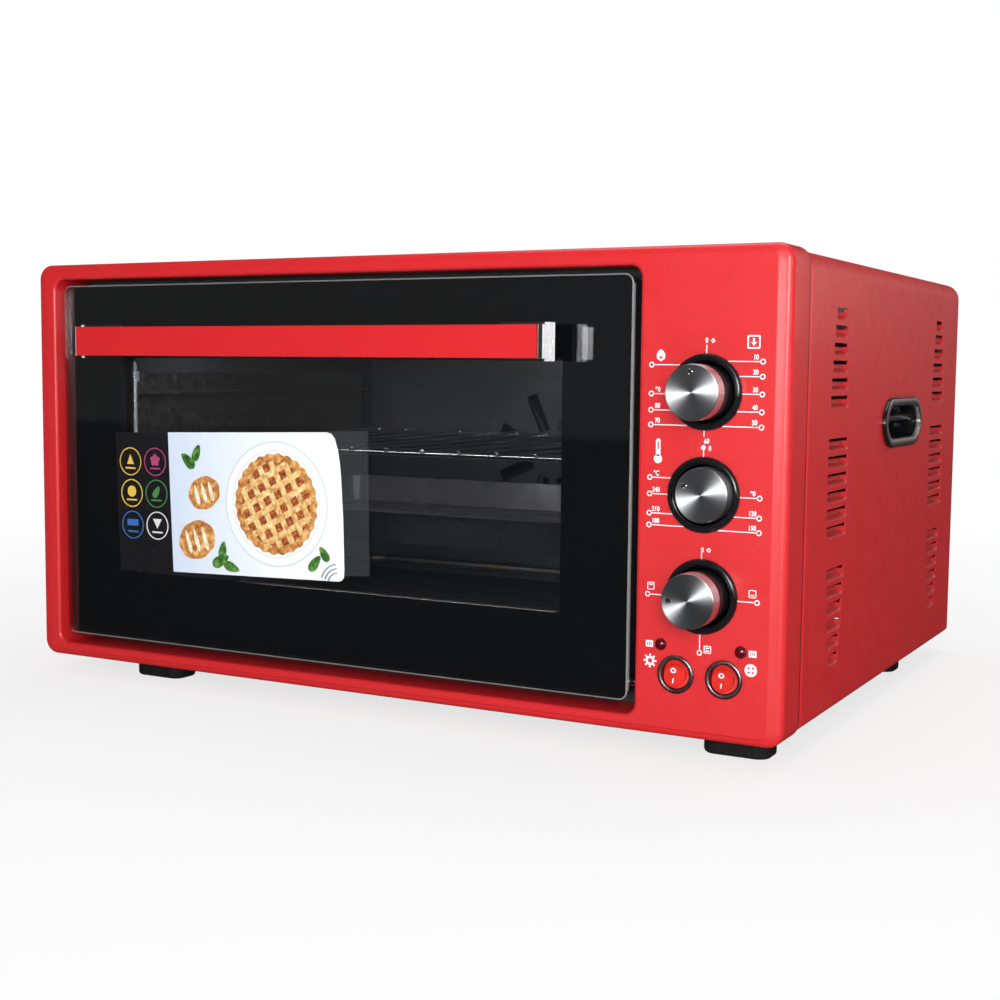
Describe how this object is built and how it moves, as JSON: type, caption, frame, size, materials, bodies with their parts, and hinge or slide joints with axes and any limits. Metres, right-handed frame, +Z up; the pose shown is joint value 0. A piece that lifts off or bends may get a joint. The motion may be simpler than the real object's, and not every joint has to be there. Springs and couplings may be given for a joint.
{
  "type": "electric oven",
  "caption": "Table-top electric oven with a drop-down glass door, pop-out control knobs, rocker switches, heaters, fan, grill and tray.",
  "frame": {"origin": "under the middle of the oven's box, on the surface its feet stand on", "axes": "+Z up, +X to the viewer's right, the door faces -Y"},
  "size_m": [0.6, 0.493, 0.313],
  "materials": {
    "red_paint": "satin red powder paint with a fine grain",
    "door_glass": "toughened glass with a black printed border and a dark tinted window",
    "black_enamel": "speckled black enamel",
    "bright_steel": "bright nickel plate",
    "brushed_steel": "turned brushed steel",
    "galvanised_steel": "galvanised sheet",
    "heater_steel": "heat-darkened steel sheath",
    "black_plastic": "black moulded plastic, semi-gloss",
    "black_rubber": "black rubber",
    "seal_fibre": "dark grey silicone seal",
    "lens_red": "dark red lens, unlit",
    "rocker_red": "clear orange-red plastic with white marks",
    "switch_grey": "metallised grey ring",
    "lamp_glass": "clear lamp glass"
  },
  "bodies": {
    "casing": {"front_frame": "red_paint", "outer_cover": "red_paint", "rear_panel": "galvanised_steel", "base_plate": "galvanised_steel", "front_foot_left": "black_rubber", "front_foot_right": "black_rubber", "rear_foot_left": "black_rubber", "rear_foot_right": "black_rubber", "side_grip_left": "black_plastic", "side_grip_right": "black_plastic", "cord_gland": "black_plastic", "oven_cavity": "black_enamel", "rack_guide_left": "bright_steel", "rack_guide_right": "bright_steel", "heater_bottom": "heater_steel", "heater_top": "heater_steel", "fan_guard": "black_enamel", "fan_motor": "galvanised_steel", "oven_lamp": "lamp_glass", "hinge_bracket_left": "galvanised_steel", "hinge_bracket_right": "galvanised_steel", "control_bracket": "galvanised_steel", "timer_bezel": "black_plastic", "thermostat_bezel": "black_plastic", "selector_bezel": "black_plastic", "timer_mechanism": "galvanised_steel", "thermostat_body": "galvanised_steel", "selector_switch": "black_plastic", "lamp_lens_left": "lens_red", "lamp_lens_right": "lens_red", "switch_body_left": "switch_grey", "switch_body_right": "switch_grey"},
    "door": {"door_glass_outer": "door_glass", "door_frame": "black_enamel", "door_glass_inner": "door_glass", "door_inner_panel": "bright_steel", "door_seal": "seal_fibre", "handle_bar": "red_paint", "handle_bracket_left": "bright_steel", "handle_bracket_right": "bright_steel", "handle_spacer_left": "black_plastic", "handle_spacer_right": "black_plastic", "hinge_pin_left": "bright_steel", "hinge_pin_right": "bright_steel", "hinge_arm_left": "bright_steel", "hinge_arm_right": "bright_steel"},
    "timer_spindle": {"timer_shaft": "bright_steel"},
    "timer_dial": {"timer_knob": "black_plastic", "timer_knob_cap": "brushed_steel"},
    "thermostat_spindle": {"thermostat_shaft": "bright_steel"},
    "thermostat_dial": {"thermostat_knob": "black_plastic", "thermostat_knob_cap": "brushed_steel"},
    "selector_spindle": {"selector_shaft": "bright_steel"},
    "selector_dial": {"selector_knob": "black_plastic", "selector_knob_cap": "brushed_steel"},
    "rocker_left": {"switch_rocker_left": "rocker_red"},
    "rocker_right": {"switch_rocker_right": "rocker_red"},
    "fan": {"fan_impeller": "galvanised_steel"},
    "grill": {"wire_rack": "bright_steel"},
    "tray": {"baking_tray": "black_enamel"}
  },
  "joints": [
    {"name": "door_hinge", "type": "hinge", "parent": "casing", "child": "door", "pos_m": [0, -0.2025, 0.041], "axis": [1, 0, 0], "range_deg": [0, 85], "stiffness_Nm_per_rad": 0.8, "springref_deg": -34.38},
    {"name": "timer_turn", "type": "hinge", "parent": "casing", "child": "timer_spindle", "pos_m": [0.2475, -0.2205, 0.2262], "axis": [0, 1, 0], "range_deg": [0, 300]},
    {"name": "timer_push", "type": "slide", "parent": "timer_spindle", "child": "timer_dial", "axis": [0, 1, 0], "range_m": [0, 0.019], "stiffness_N_per_m": 60},
    {"name": "thermostat_turn", "type": "hinge", "parent": "casing", "child": "thermostat_spindle", "pos_m": [0.2475, -0.2205, 0.1642], "axis": [0, 1, 0], "range_deg": [-300, 0]},
    {"name": "thermostat_push", "type": "slide", "parent": "thermostat_spindle", "child": "thermostat_dial", "axis": [0, 1, 0], "range_m": [-0.019, 0]},
    {"name": "selector_turn", "type": "hinge", "parent": "casing", "child": "selector_spindle", "pos_m": [0.2475, -0.2205, 0.1022], "axis": [0, 1, 0], "range_deg": [-270, 0]},
    {"name": "selector_push", "type": "slide", "parent": "selector_spindle", "child": "selector_dial", "axis": [0, 1, 0], "range_m": [0, 0.019], "stiffness_N_per_m": 60},
    {"name": "rocker_left_tip", "type": "hinge", "parent": "casing", "child": "rocker_left", "pos_m": [0.2319, -0.219, 0.0527], "axis": [1, 0, 0], "range_deg": [0, 14]},
    {"name": "rocker_right_tip", "type": "hinge", "parent": "casing", "child": "rocker_right", "pos_m": [0.2631, -0.219, 0.0527], "axis": [1, 0, 0], "range_deg": [0, 14]},
    {"name": "fan_spin", "type": "hinge", "parent": "casing", "child": "fan", "pos_m": [-0.041, 0.1585, 0.161], "axis": [0, 1, 0], "continuous": true},
    {"name": "grill_slide", "type": "slide", "parent": "casing", "child": "grill", "axis": [0, 1, 0], "range_m": [-0.007, 0.005]},
    {"name": "tray_slide", "type": "slide", "parent": "casing", "child": "tray", "axis": [0, 1, 0], "range_m": [-0.007, 0.005]}
  ]
}
